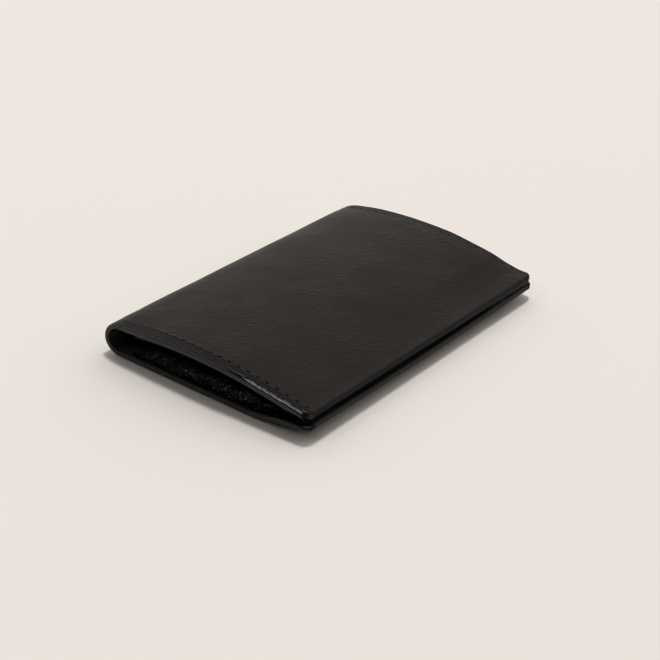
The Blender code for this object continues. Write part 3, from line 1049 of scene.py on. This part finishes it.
def build_stage():
    mesh = bpy.data.meshes.new("floor")
    z = cad_low.z - FLOOR_GAP
    corners = [(x * FLOOR_SIZE, y * FLOOR_SIZE, z) for x, y in ((-1, -1), (1, -1), (1, 1), (-1, 1))]
    mesh.from_pydata(corners, [], [(0, 1, 2, 3)])
    mesh.materials.append(floor_material("floor", FLOOR_COLOUR))
    floor = bpy.data.objects.new("floor", mesh)
    bpy.context.scene.collection.objects.link(floor)

    build_world()
    build_lamp("key", 204.0, 72.0, 3.0, (0.46, 0.46), 44.0, (1.0, 0.985, 0.965))
    build_lamp("glint", -31.0, 46.0, 1.2, (0.11, 0.11), 0.85, (1.0, 0.99, 0.98))
    bpy.context.scene.view_settings.view_transform = "Standard"


def build_world():
    """Pale surroundings: bright behind and to the left of the case, dim in front of it."""
    studio = bpy.data.worlds.new("studio")
    bpy.context.scene.world = studio
    studio.use_nodes = True
    tree = studio.node_tree
    place = tree.nodes.new("ShaderNodeTexCoord")
    lean = tree.nodes.new("ShaderNodeVectorMath")
    lean.operation = "DOT_PRODUCT"
    lean.inputs[1].default_value = WORLD_AXIS
    spread = tree.nodes.new("ShaderNodeMapRange")
    spread.inputs["From Min"].default_value = -1.0
    ramp = tree.nodes.new("ShaderNodeValToRGB")
    tree.links.new(place.outputs["Generated"], lean.inputs[0])
    tree.links.new(lean.outputs["Value"], spread.inputs["Value"])
    tree.links.new(spread.outputs["Result"], ramp.inputs["Fac"])
    background = tree.nodes["Background"]
    tree.links.new(ramp.outputs["Color"], background.inputs["Color"])
    background.inputs["Strength"].default_value = 2.0
    for stop, (height, level) in zip(ramp.color_ramp.elements, WORLD_LEVELS[:2]):
        stop.position = height
        stop.color = tinted(0.5 * level)
    for height, level in WORLD_LEVELS[2:]:
        ramp.color_ramp.elements.new(height).color = tinted(0.5 * level)


def tinted(level):
    return shade(WORLD_TINT, level)


def make_materials():
    # The rim colour of the cover leather is a painted highlight along the front rim.
    leather = leather_material("leather", (0.0088, 0.0058, 0.0050, 1.0), 0.44, warmth=0.86, gloss=0.059,
                               rim=(0.0104, 0.0106, 0.0100, 1.0))
    margin = leather_material("leather_margin", (0.0075, 0.0074, 0.0072, 1.0), 0.42, grain=0.5, gloss=0.033)
    edge = edge_material("edge_paint", (0.0040, 0.0042, 0.0046, 1.0))
    # The back cover's leather is a lighter, greener, glossier copy of the cover leather. This is painted
    # light, so that its turned rim looks lit from the right.
    wear_and_painted_light = leather_material("leather_back_painted_light", (0.0150, 0.0158, 0.0146, 1.0), 0.46, gloss=0.15, warmth=0.99)
    # Cut edges of the back cover and spine are greenish raw leather. They are made lighter than their own
    # colour to stand in for light on the shaded lower edge (painted light).
    raw_edge_painted_light = leather_material("raw_edge_painted_light", (0.0450, 0.0475, 0.0445, 1.0), 0.5, grain=0.2, gloss=0.15)
    inner = leather_material("leather_inner", (0.0050, 0.0046, 0.0044, 1.0), 0.44, grain=0.6, gloss=0.11)
    # The lining's green is its own. It is made lighter than that to stand in for light reaching into the
    # spine (painted light).
    lining = leather_material("lining", (0.0420, 0.0470, 0.0390, 1.0), 0.5, grain=0.35, gloss=0.15)
    # The gusset leather is black, and made darker still as painted shade for the recess between the covers,
    # where little light gets in.
    gusset = gusset_material("gusset", (0.0018, 0.0018, 0.0022, 1.0), (0.0150, 0.0165, 0.0155, 1.0))
    thread = thread_material("thread", (0.005, 0.0045, 0.004, 1.0))
    return {
        "cover": [leather, margin, edge],
        "cover_spine": [leather, margin, raw_edge_painted_light],
        "cover_back": [wear_and_painted_light, margin, raw_edge_painted_light],
        "inner": [inner, inner, edge],
        "lined": [lining],
        "lined_front": [lining, lining, edge],
        "gusset": gusset,
        "thread": thread,
    }


def main():
    materials = make_materials()
    build_covers(materials)
    build_linings(materials)
    build_flap(materials)
    build_wall(materials)
    build_wall_lining(materials)
    build_gussets(materials)
    build_threads(materials)
    build_stage()
    build_camera()


main()
